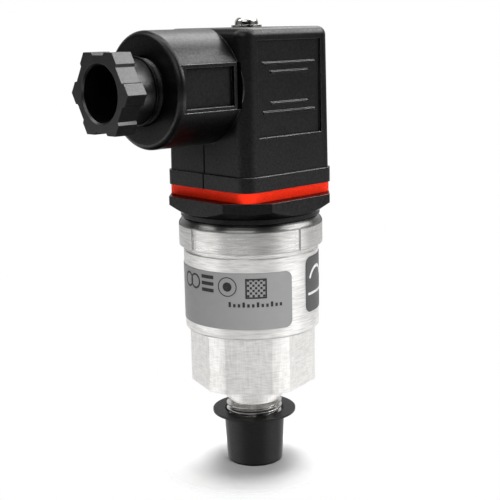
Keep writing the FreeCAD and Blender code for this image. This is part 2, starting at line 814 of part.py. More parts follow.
def flange_gasket():
    """Square silicone gasket between plug and base."""
    body = new_body("flange_gasket")
    frame = new_sketch(body, "gasket_frame", offset=base_top)
    square(frame, half_gasket)
    pad(body, frame, size.gasket_height)
    fillet(body, size.gasket_round, at_corner(half_gasket))
    opening = new_sketch(body, "gasket_opening", offset=base_top)
    half_opening = half_carrier_room - size.gasket_lap
    square(opening, half_opening)
    pocket(body, opening, size.gasket_height, against=True)
    fillet(body, size.cavity_round, at_corner(half_opening, 0.05))


def side_recess(body, label, outline_box, plane, depth):
    """Sink one rectangle into the housing from -Y and from +Y, down to a distance from its axis."""
    low_x, high_x, low_z, high_z = outline_box
    for side, sign in (("front", 1), ("rear", -1)):
        sketch = new_sketch(body, f"{label}_{side}", "XZ_Plane", plane * sign)
        rectangle(sketch, low_x, high_x, low_z, high_z)
        pocket(body, sketch, depth, against=sign > 0)


def side_plate(body, label, outline_box, plane, thickness):
    """Fill one rectangle at -Y and at +Y, from a distance from the housing's axis inwards."""
    low_x, high_x, low_z, high_z = outline_box
    for side, sign in (("front", 1), ("rear", -1)):
        sketch = new_sketch(body, f"{label}_{side}", "XZ_Plane", plane * sign)
        rectangle(sketch, low_x, high_x, low_z, high_z)
        pad(body, sketch, thickness, against=sign > 0)


def raised_lines(body, floor):
    """Four raised lines in each panel: long, short, short, long."""
    panel_head = plug_top - size.panel_top
    drops = [(size.rib_first, size.rib_long), (size.rib_second, size.rib_short),
             (size.rib_third, size.rib_short), (size.rib_fourth, size.rib_long)]
    for side, sign in (("front", 1), ("rear", -1)):
        sketch = new_sketch(body, f"raised_lines_{side}", "XZ_Plane", floor * sign)
        for drop, length in drops:
            middle = panel_head - drop
            rectangle(sketch, -length / 2, length / 2, middle - size.rib_width / 2, middle + size.rib_width / 2)
        pad(body, sketch, size.rib_rise, against=sign < 0, draft=-size.rib_slope)


def plug_housing():
    """Moulded right-angle housing: band, drafted box, barrel, panels, windows and rooms."""
    body = new_body("plug_housing")
    shell = new_sketch(body, "housing_box", offset=plug_foot)
    square(shell, half_housing)
    pad(body, shell, size.housing_height, draft=-size.housing_draft)
    fillet(body, size.housing_round, at_corner(half_housing))
    fillet(body, size.housing_edge, at_height(plug_top))
    barrel = new_sketch(body, "barrel_round_section", "YZ_Plane", -barrel_end)
    circle(barrel, size.barrel_width / 2, 0, gland_axis)
    pad(body, barrel, barrel_end - half_upper_room)
    end = -barrel_end.value
    fillet(body, size.barrel_round, lambda point: near(point.x, end))
    band = new_sketch(body, "foot_band", offset=plug_foot)
    square(band, half_band)
    pad(body, band, size.band_height)
    fillet(body, size.band_round, at_corner(half_band, 0.05))
    panel_floor = half_housing - size.panel_depth
    panel_head = plug_top - size.panel_top
    side_recess(body, "panel",
                (-size.panel_width / 2, size.panel_width / 2, panel_head - size.panel_height, panel_head),
                panel_floor, half_band)
    raised_lines(body, panel_floor)
    middle = gland_axis + size.window_rise
    near_end = -size.window_start
    far_end = near_end - size.window_length
    half = size.window_height / 2
    frame = size.window_frame
    window_floor = size.window_plane - size.window_depth
    window = (far_end, near_end, middle - half, middle + half)
    side_plate(body, "window_plate", window, size.window_plane, size.window_plate)
    side_recess(body, "window", window, size.window_plane, half_band)
    side_recess(body, "window_floor",
                (far_end + frame, near_end - frame, middle - half + frame, middle + half - frame),
                window_floor, size.window_depth)
    side_recess(body, "window_gap", (near_end, near_end + size.window_gap, middle - half, middle + half),
                window_floor, half_band)
    parting_line(body)
    rooms(body)


def parting_line(body):
    """Fine line in the middle of the side under the barrel, over the band too."""
    half = size.parting_width / 2
    band_top = plug_foot + size.band_height
    barrel_foot = gland_axis - size.barrel_width / 2
    steps = [("band_line", plug_foot, band_top, half_band),
             ("housing_line", band_top, barrel_foot, half_housing)]
    for label, low, high, face in steps:
        sketch = new_sketch(body, label, "YZ_Plane", size.parting_depth - face)
        rectangle(sketch, -half, half, low, high)
        pocket(body, sketch, size.parting_depth * 2)


def rooms(body):
    """Hollow the housing: carrier's room, conductors' room, gland bore and screw hole."""
    lower = new_sketch(body, "carrier_room", offset=plug_foot)
    square(lower, half_carrier_room)
    pocket(body, lower, carrier_top - plug_foot, against=True)
    upper = new_sketch(body, "conductor_room", offset=carrier_top)
    square(upper, half_upper_room)
    pocket(body, upper, plug_top - size.housing_roof - carrier_top, against=True)
    wire_way = new_sketch(body, "wire_way", "YZ_Plane", -gland_seat)
    circle(wire_way, size.wire_hole / 2, 0, gland_axis)
    pocket(body, wire_way, gland_seat - half_upper_room + size.cavity_round, against=True)
    bore = new_sketch(body, "gland_bore", "YZ_Plane", -barrel_end)
    circle(bore, gland_bore_radius, 0, gland_axis)
    pocket(body, bore, barrel_end - gland_seat, against=True)
    hole = new_sketch(body, "screw_way", offset=plug_top)
    circle(hole, screw_hole + size.running_gap)
    pocket(body, hole, size.housing_roof)


def contact_carrier():
    """Moulded insert that holds the four terminals."""
    body = new_body("contact_carrier")
    shell = new_sketch(body, "carrier_block", offset=carrier_foot)
    square(shell, half_carrier)
    pad(body, shell, size.carrier_height)
    fillet(body, size.cavity_round, at_corner(half_carrier, 0.05))
    hole = new_sketch(body, "carrier_screw_way", offset=carrier_top)
    circle(hole, screw_hole + size.running_gap)
    pocket(body, hole, size.carrier_height)
    post = new_sketch(body, "post_room", offset=carrier_foot)
    circle(post, size.post_width / 2 + size.running_gap)
    pocket(body, post, post_top - carrier_foot + size.running_gap, against=True)
    gap = size.terminal_gap
    room = new_sketch(body, "terminal_room", offset=carrier_top)
    half = size.terminal_width / 2 + gap
    rectangle(room, size.terminal_inner - gap, size.terminal_outer + gap, -half, half)
    rooms_cut = pocket(body, room, carrier_top - terminal_foot)
    repeat(body, rooms_cut, 4)
    slit = new_sketch(body, "blade_slit", offset=carrier_foot)
    thick = size.pin_thickness / 2 + size.blade_gap
    wide = size.pin_width / 2 + size.blade_side_gap
    rectangle(slit, size.pin_spread - thick, size.pin_spread + thick, -wide, wide)
    slits_cut = pocket(body, slit, size.terminal_floor, against=True)
    repeat(body, slits_cut, 4)


def terminal(label, direction):
    """Brass terminal: a slot takes the blade from below, a hole takes the clamp screw."""
    body = new_body(label)
    shell = new_sketch(body, f"{label}_block", offset=terminal_foot)
    half = size.terminal_width / 2
    rectangle(shell, size.terminal_inner, size.terminal_outer, -half, half)
    pad(body, shell, size.terminal_height)
    slit = new_sketch(body, f"{label}_slit", offset=terminal_foot)
    thick = size.pin_thickness / 2 + size.blade_gap
    wide = size.pin_width / 2 + size.blade_side_gap
    rectangle(slit, size.pin_spread - thick, size.pin_spread + thick, -wide, wide)
    pocket(body, slit, base_top + size.pin_height - terminal_foot + size.blade_side_gap, against=True)
    hole = new_sketch(body, f"{label}_hole", offset=terminal_top)
    circle(hole, size.clamp_screw_width / 2 + size.press_gap, size.clamp_screw_spread)
    pocket(body, hole, size.terminal_height)
    turn_body(body, direction)


def clamp_plates():
    """Square plates that press a conductor onto each terminal."""
    plates = []
    side = size.clamp_plate_side
    for number, (x, y) in enumerate([(1, 0), (0, 1), (-1, 0), (0, -1)], start=1):
        place_x = size.clamp_screw_spread * x
        place_y = size.clamp_screw_spread * y
        box = block(f"clamp_blank_{number}", place_x, place_y, terminal_top, side, side,
                    size.clamp_plate_thickness)
        hole = upright(f"clamp_hole_{number}", place_x, place_y, terminal_top,
                       size.clamp_screw_width / 2 + size.press_gap, size.clamp_plate_thickness)
        plate = doc.addObject("Part::Cut", f"clamp_plate_{number}")
        plate.Base = box
        plate.Tool = hole
        plates.append(plate)
    group("clamp_plates", plates)


def upright(label, x, y, foot, radius, height):
    """A cylinder that stands on a level."""
    rod = doc.addObject("Part::Cylinder", label)
    bind(rod, "Radius", radius)
    bind(rod, "Height", height)
    place = [dimension(x), dimension(y), foot]
    rod.Placement = FreeCAD.Placement(FreeCAD.Vector(*[part.value for part in place]), FreeCAD.Rotation())
    for axis, part in zip("xyz", place):
        rod.setExpression(f"Placement.Base.{axis}", part.text)
    return rod


def clamp_screws():
    """Four slotted terminal screws."""
    screws = []
    for number, (x, y) in enumerate([(1, 0), (0, 1), (-1, 0), (0, -1)], start=1):
        place_x = size.clamp_screw_spread * x
        place_y = size.clamp_screw_spread * y
        shank = upright(f"clamp_shank_{number}", place_x, place_y,
                        clamp_screw_seat - size.clamp_screw_length,
                        size.clamp_screw_width / 2, size.clamp_screw_length)
        head = upright(f"clamp_head_{number}", place_x, place_y, clamp_screw_seat,
                       size.clamp_head_width / 2, size.clamp_head_height)
        whole = doc.addObject("Part::Fuse", f"clamp_blank_screw_{number}")
        whole.Base = shank
        whole.Tool = head
        slot_depth = size.clamp_head_height / 2
        slot = block(f"clamp_slot_{number}", place_x, place_y, clamp_screw_seat + slot_depth,
                     size.clamp_head_width * 1.2, size.head_slot, slot_depth * 1.2)
        screw = doc.addObject("Part::Cut", f"clamp_screw_{number}")
        screw.Base = whole
        screw.Tool = slot
        screws.append(screw)
    group("clamp_screws", screws)


# Fixing screw

def screw_washer():
    turned("screw_washer", tube_section(screw_hole, size.washer_width / 2, plug_top, screw_seat))


def fixing_screw():
    """Long M3 pan-head screw through the plug, with a crossed recess."""
    head = size.head_width / 2
    head_top = screw_seat + size.head_height
    body = turned("fixing_screw", [
        (0, screw_tip), (screw_radius, screw_tip), (screw_radius, screw_seat),
        (head, screw_seat), (head, head_top), (0, head_top)])
    fillet(body, size.head_round,
           lambda point: near(point.z, head_top) and near(math.hypot(point.x, point.y), head))
    half = size.head_slot / 2
    reach = size.head_cross / 2
    recess = new_sketch(body, "head_recess", offset=head_top)
    outline(recess, [
        (half, -reach), (half, -half), (reach, -half), (reach, half), (half, half), (half, reach),
        (-half, reach), (-half, half), (-reach, half), (-reach, -half), (-half, -half), (-half, -reach)])
    pocket(body, recess, size.head_cross_depth)
    turn_body(body, size.head_turn)


# Cable gland

def gland_nut():
    """Six-sided pressure screw with a notch in each side and a plain tail under its thread."""
    body = new_body("gland_nut")
    shoulder = nut_shoulder
    face = shoulder + size.nut_height
    middle = shoulder + size.nut_height / 2
    half = size.nut_flats / 2
    side = half / math.cos(math.radians(30))
    head = new_sketch(body, "nut_hexagon", offset=shoulder)
    points = [math.radians(30 + 60 * number) for number in range(6)]
    outline(head, [(side * math.cos(angle), side * math.sin(angle)) for angle in points])
    pad(body, head, size.nut_height)
    notch = new_sketch(body, "nut_notch", offset=shoulder)
    wide = size.nut_notch_width / 2
    deep = half - size.nut_notch_depth
    outline(notch, [(half, wide), (half * 1.1, wide), (half * 1.1, -wide), (half, -wide),
                    (deep, -wide + size.nut_notch_ramp), (deep, wide - size.nut_notch_ramp)])
    cut = pocket(body, notch, size.nut_height, against=True)
    repeat(body, cut, 6)
    neck = size.nut_neck_width / 2
    turn(body, "nut_tail", "Revolution", [(0, nut_nose), (neck, nut_nose), (neck, middle), (0, middle)])
    bore = size.nut_bore / 2
    mouth = size.nut_mouth / 2
    turn(body, "nut_bore_section", "Groove", [
        (0, nut_nose - neck), (bore, nut_nose - neck), (bore, face - (mouth - bore)), (mouth, face),
        (mouth, face + neck), (0, face + neck)])
    lay_along_gland(body)


def nut_thread():
    """The nut's outside thread, as a sleeve from root to crest."""
    top = nut_shoulder - size.nut_neck_length
    body = turned("nut_thread", tube_section(size.nut_neck_width / 2 + size.press_gap,
                                             gland_thread_radius, nut_nose, top))
    lay_along_gland(body)


def thrust_washer():
    """Washer at the nut's nose, which presses on the seal without turning it."""
    body = turned("thrust_washer", tube_section(size.nut_bore / 2, gland_thread_radius,
                                                thrust_foot, nut_nose))
    lay_along_gland(body)


def cable_seal():
    """Rubber bush that grips the cable."""
    outer = gland_thread_radius
    inner = size.gland_seal_bore / 2
    lip = size.thrust_thickness
    foot = gland_seat
    top = foot + size.gland_seal_length
    body = turned("cable_seal", [
        (inner, foot), (outer, foot), (outer, top - lip), (outer - lip, top), (inner + lip, top), (inner, top - lip)])
    lay_along_gland(body)


# Thread cap

def protective_cap():
    """Thin top-hat cap pushed over the thread."""
    flange_foot = cap_top - size.cap_flange_thickness
    grip = thread_radius + size.running_gap
    mouth = size.cap_mouth / 2
    body = turned("protective_cap", [
        (0, cap_foot),
        (size.cap_foot_width / 2, cap_foot),
        (size.cap_width / 2, flange_foot),
        (size.cap_flange_width / 2, flange_foot),
        (size.cap_flange_width / 2, cap_top),
        (mouth, cap_top),
        (grip, cap_top - (mouth - grip) * 2),
        (grip, thread_foot + size.thread_chamfer / 2),
        (size.cap_foot_width / 2 - size.cap_foot_wall, cap_foot + size.cap_floor),
        (0, cap_foot + size.cap_floor),
    ])
    fillet(body, size.cap_foot_round, at_height(cap_foot))


# Labels

def label_film(label, foot, height, start, sweep):
    """Curved film with rounded corners, glued to the tube."""
    body = new_body(label)
    sketch = new_sketch(body, f"{label}_section", "XZ_Plane")
    inner = size.tube_width / 2 + size.press_gap
    rectangle(sketch, inner, inner + size.label_thickness, foot, foot + height)
    film = body.newObject("PartDesign::Revolution", f"{label}_film")
    film.Profile = (sketch, [""])
    film.ReferenceAxis = (sketch, ["V_Axis"])
    bind(film, "Angle", sweep)
    doc.recompute()
    thin = size.label_thickness.value
    names = [f"Edge{number}" for number, edge in enumerate(film.Shape.Edges, start=1)
             if abs(edge.Length - thin) < thin / 10]
    corner = body.newObject("PartDesign::Fillet", f"{label}_corners")
    corner.Base = (film, names)
    bind(corner, "Radius", size.label_round)
    turn_body(body, start)


def build():
    pressure_connector()
    stem_thread()
    body_tube()
    lock_ring()
    base_seal()
    sensor_cell()
    sensor_seal()
    sensor_clamp_ring()
    sensor_pins()
    board_ring()
    circuit_board()
    board_parts()
    lead_wires()
    connector_base()
    contact("contact_blade_1", size.pin_width, dimension(180))
    contact("contact_blade_2", size.pin_width, dimension(0))
    contact("contact_blade_3", size.pin_width, dimension(-90))
    contact("earth_blade", size.earth_width, dimension(90))
    threaded_insert()
    flange_gasket()
    plug_housing()
    contact_carrier()
    terminal("terminal_1", dimension(180))
    terminal("terminal_2", dimension(0))
    terminal("terminal_3", dimension(-90))
    terminal("earth_terminal", dimension(90))
    clamp_plates()
    clamp_screws()
    screw_washer()
    fixing_screw()
    gland_nut()
    nut_thread()
    thrust_washer()
    cable_seal()
    protective_cap()
    label_film("grey_label", tube_foot + size.label_foot, size.label_height,
               size.label_start, size.label_sweep)
    label_film("dark_label", tube_foot + size.dark_label_foot, size.dark_label_height,
               size.dark_label_start, size.dark_label_sweep)


def check(document):
    """Stop if any feature failed or any piece has no sound shape."""
    faults = [item.Name for item in document.Objects if {"Invalid", "Error"} & set(item.State)]
    faults += [piece.Label for piece in pieces if piece.Shape.isNull() or not piece.Shape.isValid()]
    if faults:
        raise RuntimeError("failed features or shapes: " + ", ".join(faults))


build()
doc.recompute()
check(doc)
os.makedirs("parts", exist_ok=True)
for piece in pieces:
    piece.Shape.exportStep(f"parts/{piece.Label}.step")
    print(f"{piece.Label}: {len(piece.Shape.Solids)} solid(s), {piece.Shape.Volume:.1f} mm3")
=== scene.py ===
"""Looks of the pressure transmitter: materials, threads, label marks, light and camera."""

import json
import math

import bpy
from mathutils import Matrix, Vector


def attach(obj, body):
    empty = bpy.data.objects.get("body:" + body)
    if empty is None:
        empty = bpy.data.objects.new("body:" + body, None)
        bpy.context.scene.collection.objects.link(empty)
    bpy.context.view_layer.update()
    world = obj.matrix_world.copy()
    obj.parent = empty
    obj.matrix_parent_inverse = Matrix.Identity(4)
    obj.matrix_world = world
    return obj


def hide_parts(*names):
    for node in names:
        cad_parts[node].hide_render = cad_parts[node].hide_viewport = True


MM = 0.001
WHITE = (1.0, 1.0, 1.0, 1.0)

# Steel: fineness of the turned lines, and the share of colour taken off as painted shade between
# given heights
LINE_SCALE = 5.0
PAINTED_SHADE_SHARE = 0.8

# Plastic: cosines of the normal's turn that make an edge with a painted highlight, reach in
# millimetres and occlusion range of the painted shade in corners, and the limits in x and z of the
# parting line's painted shade
PLUG_BLACK = (0.0012, 0.0012, 0.0014)
EDGE_TURN = (0.99, 0.85)
CORNER_REACH, CORNER_SHADE_OCCLUSION = 12.0, (0.2, 0.95)
PARTING_X, PARTING_Z = (-9.0, -8.0), (55.5, 56.5)

# Places on the part, in millimetres
GLAND_AXIS = 68.6
LABEL_FACE = 15.62

# Ink's thickness and longest flat step in millimetres, and its step round an arc in degrees
INK_THICKNESS, INK_STEP, ARC_STEP = 0.02, 0.4, 9

# Thread: shares of half a pitch that are flat root and flank, and the flank's straight share
ROOT_FLAT, FLANK, STRAIGHT = 0.14, 0.7, 0.6

# Floor, in millimetres
FLOOR_HEIGHT, FLOOR_REACH = -20.17, 1500.0
FADE_CENTRE = (-1.5, 0.4, FLOOR_HEIGHT)
FADE_START, FADE_END = 11.0, 26.0

# Camera's turn round the part from its front, and the same from the X axis, in degrees
CAMERA_AZIMUTH = -43.166
CAMERA_SIDE = CAMERA_AZIMUTH - 90

# Studio as metal sees it: tones where 1 is white, edges as rises in degrees
AMBIENT = 0.1
TABLE_TONE, TABLE_EDGE, TABLE_FOOT = 0.95, (-6, -13), (-22, -40)
CEILING_TONE, CEILING_EDGE = 0.2, (20, 60)
BACK_WALL_TONE, BACK_WALL_FOOT, BACK_WALL_TOP = 0.7, (-4, 4), (18, 45)
# Cosines of the angle away from straight behind the part
BACK_WALL_SIDES = (0.3, 0.95)
# Share of the side walls' tone that stays above and below the table
HORIZON_SHARE = 0.23
# Turn to the right of the camera as seen from the part, half widths of middle and whole, tone
STUDIO_WALLS = [(70, 6, 34, 0.85), (-78, 6, 36, 0.75)]
LAMP_AIM = 40.0
# Name, turn, rise, distance, width, height, brightness, surfaces lit
LAMPS = [
    ("back_box", 170, 50, 600, 400, 300, 2.4, "both"),
    ("top_box", 178, 82, 600, 420, 420, 11.5, "matt"),
    ("front_box", -20, 36, 600, 460, 320, 1.4, "both"),
    ("right_box", 36, 8, 600, 460, 300, 4.8, "matt"),
    ("right_card", 94, 38, 550, 460, 280, 5.0, "shiny"),
    ("rear_card", 145, 42, 560, 420, 240, 2.2, "shiny"),
    ("top_card", 90, 88, 600, 300, 760, 3.0, "shiny"),
    ("left_card", -85, 44, 560, 280, 240, 2.4, "shiny"),
]

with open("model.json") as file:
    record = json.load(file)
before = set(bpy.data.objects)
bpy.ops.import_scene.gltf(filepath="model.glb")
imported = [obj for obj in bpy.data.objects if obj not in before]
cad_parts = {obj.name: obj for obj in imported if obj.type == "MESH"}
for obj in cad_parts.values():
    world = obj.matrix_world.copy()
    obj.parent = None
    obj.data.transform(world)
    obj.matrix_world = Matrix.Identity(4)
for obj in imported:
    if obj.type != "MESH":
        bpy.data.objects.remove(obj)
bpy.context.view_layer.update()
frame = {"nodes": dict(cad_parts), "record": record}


# Node graphs


class Graph:
    """A material or world whose nodes are added and linked in one call."""

    def __init__(self, owner):
        owner.use_nodes = True
        self.owner = owner
        self.tree = owner.node_tree
        self.tree.nodes.clear()

    def add(self, kind, inputs=None, **settings):
        """Node with its settings; inputs are other nodes' sockets or plain values."""
        node = self.tree.nodes.new("ShaderNode" + kind)
        for name, value in settings.items():
            setattr(node, name, value)
        for key, value in (inputs or {}).items():
            if isinstance(value, bpy.types.NodeSocket):
                self.tree.links.new(value, node.inputs[key])
            else:
                node.inputs[key].default_value = value
        return node

    def math(self, operation, first, second=0.0):
        return self.add("Math", {0: first, 1: second}, operation=operation).outputs[0]

    def times(self, first, second):
        return self.math("MULTIPLY", first, second)

    def weighted(self, first, share, second):
        """Two patterns added up: a share of the first, and the rest from the second."""
        return self.math("ADD", self.times(first, share), self.times(second, 1.0 - share))

    def vector(self, operation, first, second=(0.0, 0.0, 0.0)):
        """Outputs of a vector operation."""
        return self.add("VectorMath", {0: first, 1: second}, operation=operation).outputs

    def split(self, vector):
        return self.add("SeparateXYZ", {0: vector}).outputs

    def millimetres(self):
        """Place in the part's own frame, in millimetres."""
        place = self.add("TexCoord").outputs["Object"]
        return self.vector("MULTIPLY", place, (1 / MM, 1 / MM, 1 / MM))[0]

    def stretched(self, scale):
        """The same place, with its own scale along each axis."""
        return self.vector("MULTIPLY", self.millimetres(), scale)[0]

    def noise(self, vector, scale, detail, roughness=0.5):
        inputs = {"Vector": vector, "Scale": scale, "Detail": detail, "Roughness": roughness}
        return self.add("TexNoise", inputs).outputs["Fac"]

    def spread(self, factor, low, high, start=0.3, end=0.7):
        """Map a noise's usual range to low and high."""
        inputs = {"Value": factor, "From Min": start, "From Max": end}
        inputs.update({"To Min": low, "To Max": high})
        return self.add("MapRange", inputs).outputs["Result"]

    def smooth(self, value, start, end):
        """Smooth step from 0 at start to 1 at end."""
        inputs = {"Value": value, "From Min": start, "From Max": end}
        return self.add("MapRange", inputs, interpolation_type="SMOOTHSTEP").outputs["Result"]

    def shown(self):
        """1 for the rays by which the background itself is seen."""
        path = self.add("LightPath").outputs
        mirrored = self.math("MAXIMUM", path["Is Glossy Ray"], path["Is Transmission Ray"])
        return self.math("MAXIMUM", path["Is Camera Ray"], mirrored)

    def blend(self, factor, first, second):
        """Mix two colours given as (r, g, b)."""
        inputs = {"Factor": factor, 6: (*first, 1.0), 7: (*second, 1.0)}
        return self.add("Mix", inputs, data_type="RGBA").outputs[2]

    def tinted(self, factor, shade, share, start=0.3, end=0.7):
        """From a darker share of a colour to the colour itself."""
        dark = tuple(channel * share for channel in shade)
        return self.blend(self.spread(factor, 0.0, 1.0, start, end), dark, shade)

    def soft_edge(self, radius):
        """Normal that rounds sharp edges by a radius in millimetres."""
        return self.add("Bevel", {"Radius": radius * MM}, samples=6).outputs["Normal"]

    def turned_away(self, normal):
        """0 on a face, growing to 1 where soft_edge has turned the normal."""
        plain = self.add("NewGeometry").outputs["Normal"]
        return self.smooth(self.vector("DOT_PRODUCT", normal, plain)["Value"], *EDGE_TURN)

    def painted_corner_shade(self):
        """Painted shade for corners from ambient occlusion: 1 on open faces, down to 0 in deep
        corners.
        """
        inputs = {"Distance": CORNER_REACH * MM}
        share = self.add("AmbientOcclusion", inputs, samples=6).outputs["AO"]
        return self.smooth(share, *CORNER_SHADE_OCCLUSION)

    def bump(self, height, depth, normal=None):
        """Normal from a height pattern; depth in millimetres."""
        inputs = {"Height": height, "Distance": depth * MM, "Strength": 1.0}
        if normal is not None:
            inputs["Normal"] = normal
        return self.add("Bump", inputs).outputs["Normal"]

    def surface(self, **inputs):
        """Principled shader on the output; names use underscores for spaces."""
        named = {name.replace("_", " "): value for name, value in inputs.items()}
        shader = self.add("BsdfPrincipled", named)
        self.add("OutputMaterial", {"Surface": shader.outputs[0]})
        return self.owner


def new_graph(name):
    return Graph(bpy.data.materials.new(name))


# Materials


def turned_steel(name, shade, low_roughness, high_roughness, line_depth, metallic=1.0,
                 painted_shade_heights=None):
    """Steel with fine lines round the Z axis and concentric lines on flat faces.

    Between the two heights given it has painted shade, darker colour that dims its highlight
    there.
    """
    graph = new_graph(name)
    place = graph.millimetres()
    parts = graph.split(place)
    flat = graph.add("CombineXYZ", {0: parts[0], 1: parts[1]}).outputs[0]
    radius = graph.vector("LENGTH", flat)["Value"]
    turn = graph.split(graph.vector("NORMALIZE", flat)[0])
    vector = graph.add("CombineXYZ", {
        0: graph.times(radius, LINE_SCALE),
        1: graph.times(parts[2], LINE_SCALE),
        2: graph.times(turn[0], LINE_SCALE),
    }).outputs[0]
    lines = graph.add("TexNoise", {
        "Vector": vector, "W": graph.times(turn[1], LINE_SCALE), "Scale": 1.0, "Detail": 3.0,
    }, noise_dimensions="4D").outputs["Fac"]
    mixed = graph.weighted(lines, 0.75, graph.noise(place, 0.12, 3.0))
    color = graph.tinted(mixed, shade, 0.7, 0.35, 0.62)
    # Painted shade: the colour is scaled down between the two heights, where the top rounding
    # mirrors the lamps brightly
    if painted_shade_heights:
        painted_shade = graph.times(graph.smooth(parts[2], *painted_shade_heights), PAINTED_SHADE_SHARE)
        inputs = {0: color, "Scale": graph.math("SUBTRACT", 1.0, painted_shade)}
        color = graph.add("VectorMath", inputs, operation="SCALE").outputs[0]
    tangent = graph.add("Tangent", direction_type="RADIAL", axis="Z").outputs[0]
    return graph.surface(
        Base_Color=color,
        Metallic=metallic,
        Roughness=graph.spread(mixed, high_roughness, low_roughness),
        Anisotropic=0.55,
        Anisotropic_Rotation=0.25,
        Tangent=tangent,
        Normal=graph.bump(lines, line_depth, graph.soft_edge(0.2)),
    )


def milled_steel():
    """Steel of the hexagon: crossed fine lines on the flats."""
    graph = new_graph("milled_steel")
    level = graph.noise(graph.stretched((0.5, 0.5, 3.6)), 1.0, 3.0)
    upright = graph.noise(graph.stretched((3.4, 3.4, 0.35)), 1.0, 3.0)
    lines = graph.weighted(level, 0.6, upright)
    mixed = graph.weighted(lines, 0.85, graph.noise(graph.millimetres(), 0.3, 4.0))
    pale = graph.spread(mixed, 0.0, 1.0, 0.38, 0.6)
    return graph.surface(
        Base_Color=graph.blend(pale, (0.74, 0.73, 0.71), (0.94, 0.93, 0.91)),
        Metallic=0.72,
        Roughness=graph.spread(mixed, 0.44, 0.32),
        Normal=graph.bump(lines, 0.006, graph.soft_edge(0.08)),
    )


def plain_metal(name, shade, roughness):
    """Metal with a slight cloud and no lines."""
    graph = new_graph(name)
    cloud = graph.noise(graph.millimetres(), 1.2, 4.0)
    return graph.surface(
        Base_Color=graph.tinted(cloud, shade, 0.8),
        Metallic=1.0,
        Roughness=graph.spread(cloud, roughness + 0.08, roughness - 0.05),
        Normal=graph.bump(cloud, 0.01, graph.soft_edge(0.08)),
    )


def moulded(name, shade, roughness, grain_depth, edge, level=0.35, grain=2.2, painted_edge_highlight=0.0,
            painted_parting_shade=None):
    """Moulded plastic or rubber with a fine grain and soft edges.

    The edge gain adds a painted highlight, more shine at sharp edges; with it, corners get painted
    shade, their shine cut by ambient occlusion.
    The parting line's distances from the plane y = 0 bound its painted shade: between them the
    shine fades out, darkening the thin groove as its shade would.
    """
    graph = new_graph(name)
    place = graph.millimetres()
    grains = graph.noise(place, grain, 3.0, 0.6)
    mixed = graph.weighted(grains, 0.6, graph.noise(place, 0.25, 3.0))
    shine = graph.spread(grains, level * 0.65, level * 1.2)
    soft = graph.soft_edge(edge)
    # Painted highlight at sharp edges and painted shade in corners, both through the shine
    if painted_edge_highlight:
        gain = graph.math("ADD", graph.times(graph.turned_away(soft), painted_edge_highlight), 1.0)
        shine = graph.times(graph.times(shine, gain), graph.painted_corner_shade())
    # Painted shade along the parting line's groove: the shine is cut near y = 0 where x is under
    # about -8 and z under about 56
    if painted_parting_shade:
        parts = graph.split(place)
        beside = graph.smooth(graph.math("ABSOLUTE", parts[1]), *painted_parting_shade)
        ahead, above = graph.smooth(parts[0], *PARTING_X), graph.smooth(parts[2], *PARTING_Z)
        elsewhere = graph.math("MAXIMUM", ahead, above)
        shine = graph.times(shine, graph.math("MAXIMUM", beside, elsewhere))
    return graph.surface(
        Base_Color=graph.tinted(mixed, shade, 0.75),
        Roughness=graph.spread(mixed, roughness + 0.07, roughness - 0.05),
        Specular_IOR_Level=shine,
        Normal=graph.bump(grains, grain_depth, soft),
    )


def film(name, shade, roughness):
    """Printed film: nearly even, with faint lines round the tube."""
    graph = new_graph(name)
    lines = graph.noise(graph.stretched((0.4, 0.4, 5.0)), 1.0, 3.0)
    mixed = graph.weighted(lines, 0.5, graph.noise(graph.millimetres(), 0.5, 3.0))
    return graph.surface(
        Base_Color=graph.tinted(mixed, shade, 0.93),
        Roughness=graph.spread(mixed, roughness + 0.05, roughness - 0.05),
        Specular_IOR_Level=0.4,
        Normal=graph.bump(lines, 0.003),
    )


def make_materials():
    """One material per slot of the record."""
    return {
        "stainless_steel": turned_steel("turned_steel", (0.9, 0.89, 0.87), 0.3, 0.42, 0.015),
        # Its shine has a painted highlight at edges and painted shade in corners
        "black_plastic": moulded("black_plastic", PLUG_BLACK, 0.32, 0.02, 0.14, 0.33,
                                 painted_edge_highlight=5.0),
        "cap_plastic": moulded("cap_plastic", (0.0025, 0.0025, 0.0025), 0.36, 0.012, 0.1,
                               0.36, 6.0),
        "red_silicone": moulded("red_silicone", (1.0, 0.03, 0.006), 0.5, 0.01, 0.2, 0.1),
        "black_rubber": moulded("black_rubber", (0.01, 0.01, 0.01), 0.62, 0.02, 0.15),
        "brass": plain_metal("brass", (0.78, 0.6, 0.32), 0.3),
        "tinned_brass": plain_metal("tinned_brass", (0.72, 0.71, 0.68), 0.32),
        "plated_steel": plain_metal("plated_steel", (0.8, 0.79, 0.76), 0.16),
        "board_laminate": moulded("board_laminate", (0.01, 0.12, 0.04), 0.35, 0.01, 0.05),
        "chip_plastic": moulded("chip_plastic", (0.02, 0.02, 0.022), 0.5, 0.02, 0.05),
        "wire_insulation": moulded("wire_insulation", (0.45, 0.03, 0.02), 0.4, 0.01, 0.05),
        "grey_film": film("grey_film", (0.25, 0.25, 0.25), 0.42),
        "dark_film": film("dark_film", (0.07, 0.07, 0.072), 0.42),
    }


